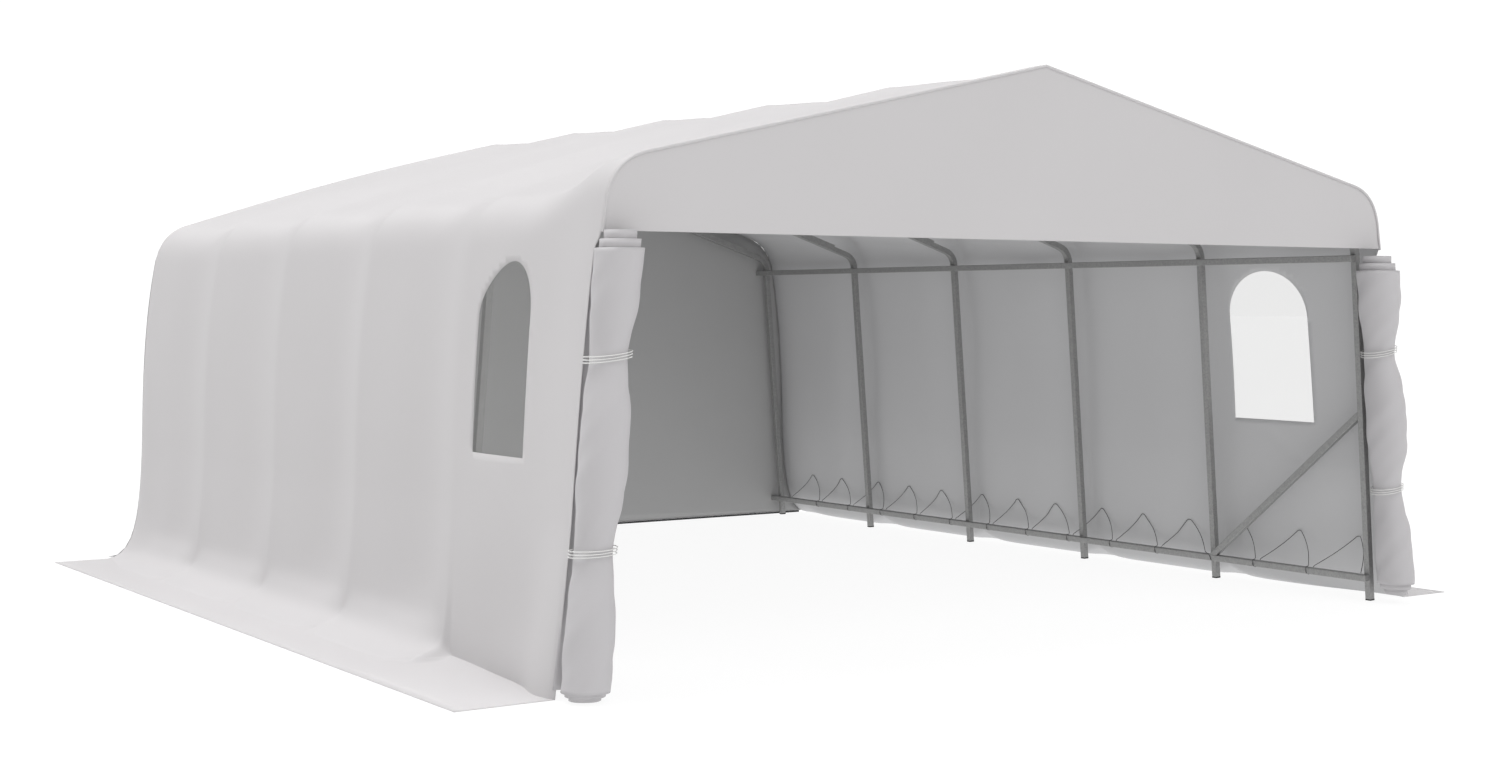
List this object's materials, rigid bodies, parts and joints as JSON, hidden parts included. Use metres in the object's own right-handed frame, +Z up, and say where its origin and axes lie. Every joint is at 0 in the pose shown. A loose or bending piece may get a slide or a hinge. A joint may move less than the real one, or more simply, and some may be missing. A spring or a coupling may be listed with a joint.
{
  "type": "portable car shelter tent",
  "caption": "Portable double car shelter: gabled fabric cover with side windows, ground flaps and rolled front doors over a square steel tube arch frame.",
  "frame": {"origin": "on the ground at the middle of the shelter's overall width and length", "axes": "+X to the right seen from the open front, +Y from the open front to the closed rear, +Z up"},
  "size_m": [6.63, 6.4062, 2.975],
  "materials": {
    "galvanised_tube": "dull zinc galvanised square tube",
    "cover_fabric": "pale grey coated woven polyethylene, satin",
    "dark_hem": "dark webbing hem, matt",
    "clear_film": "clear flexible window film",
    "white_cord": "off-white braided cord",
    "grey_cord": "dark grey braided cord"
  },
  "bodies": {
    "root": {"base_rail_left": "galvanised_tube", "base_rail_right": "galvanised_tube", "brace_left": "galvanised_tube", "brace_right": "galvanised_tube", "front_valance": "cover_fabric", "ground_flap_left": "cover_fabric", "ground_flap_right": "cover_fabric", "lacing_rope_left": "grey_cord", "lacing_rope_right": "grey_cord", "leg_left_1": "galvanised_tube", "leg_left_2": "galvanised_tube", "leg_left_3": "galvanised_tube", "leg_left_4": "galvanised_tube", "leg_left_5": "galvanised_tube", "leg_left_6": "galvanised_tube", "leg_right_1": "galvanised_tube", "leg_right_2": "galvanised_tube", "leg_right_3": "galvanised_tube", "leg_right_4": "galvanised_tube", "leg_right_5": "galvanised_tube", "leg_right_6": "galvanised_tube", "rear_hem": "dark_hem", "rear_wall": "cover_fabric", "ridge_purlin": "galvanised_tube", "rolled_door_left": "cover_fabric", "rolled_door_right": "cover_fabric", "roof_bow_1": "galvanised_tube", "roof_bow_2": "galvanised_tube", "roof_bow_3": "galvanised_tube", "roof_bow_4": "galvanised_tube", "roof_bow_5": "galvanised_tube", "roof_bow_6": "galvanised_tube", "roof_cover_left": "cover_fabric", "roof_cover_right": "cover_fabric", "side_rail_left": "galvanised_tube", "side_rail_right": "galvanised_tube", "tie_left_lower": "white_cord", "tie_left_upper": "white_cord", "tie_right_lower": "white_cord", "tie_right_upper": "white_cord", "wall_cover_left": "cover_fabric", "wall_cover_right": "cover_fabric", "window_left": "clear_film", "window_right": "clear_film"}
  },
  "joints": []
}
